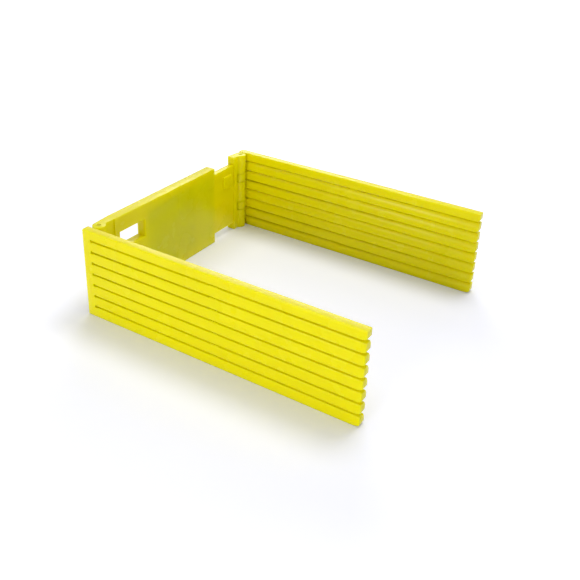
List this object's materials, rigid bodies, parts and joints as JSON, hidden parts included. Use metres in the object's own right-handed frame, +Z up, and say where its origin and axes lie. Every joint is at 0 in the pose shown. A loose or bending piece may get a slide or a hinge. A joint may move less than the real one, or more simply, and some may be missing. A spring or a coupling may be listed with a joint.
{
  "type": "cake slicing guide",
  "caption": "Width-adjustable slicing guide: combed side plates hinged to a sliding two-part back, slots steer a blade level.",
  "frame": {"origin": "on the table, below the middle of the guide's outline at rest", "axes": "+Y from the wing tips to the back, +X from the near wing to the far wing, +Z up"},
  "size_m": [0.222, 0.252, 0.078],
  "materials": {
    "back_sleeve_plastic": "glossy lime yellow",
    "back_slider_plastic": "glossy lime yellow",
    "near_wing_plastic": "glossy lime yellow",
    "far_wing_plastic": "glossy lime yellow",
    "near_pin_plastic": "glossy lime yellow",
    "far_pin_plastic": "glossy lime yellow"
  },
  "bodies": {
    "sleeve_half": {"back_sleeve": "back_sleeve_plastic", "near_hinge_pin": "near_pin_plastic"},
    "slider_half": {"back_slider": "back_slider_plastic", "far_hinge_pin": "far_pin_plastic"},
    "near_side": {"near_wing": "near_wing_plastic"},
    "far_side": {"far_wing": "far_wing_plastic"}
  },
  "joints": [
    {"name": "width_slide", "type": "slide", "parent": "sleeve_half", "child": "slider_half", "axis": [1, 0, 0], "range_m": [-0.0155, 0.03]},
    {"name": "near_wing_hinge", "type": "hinge", "parent": "sleeve_half", "child": "near_side", "pos_m": [-0.0977, 0.1194, 0], "axis": [0, 0, -1], "range_deg": [-20, 90]},
    {"name": "far_wing_hinge", "type": "hinge", "parent": "slider_half", "child": "far_side", "pos_m": [0.0977, 0.1194, 0], "axis": [0, 0, 1], "range_deg": [-20, 90]}
  ]
}
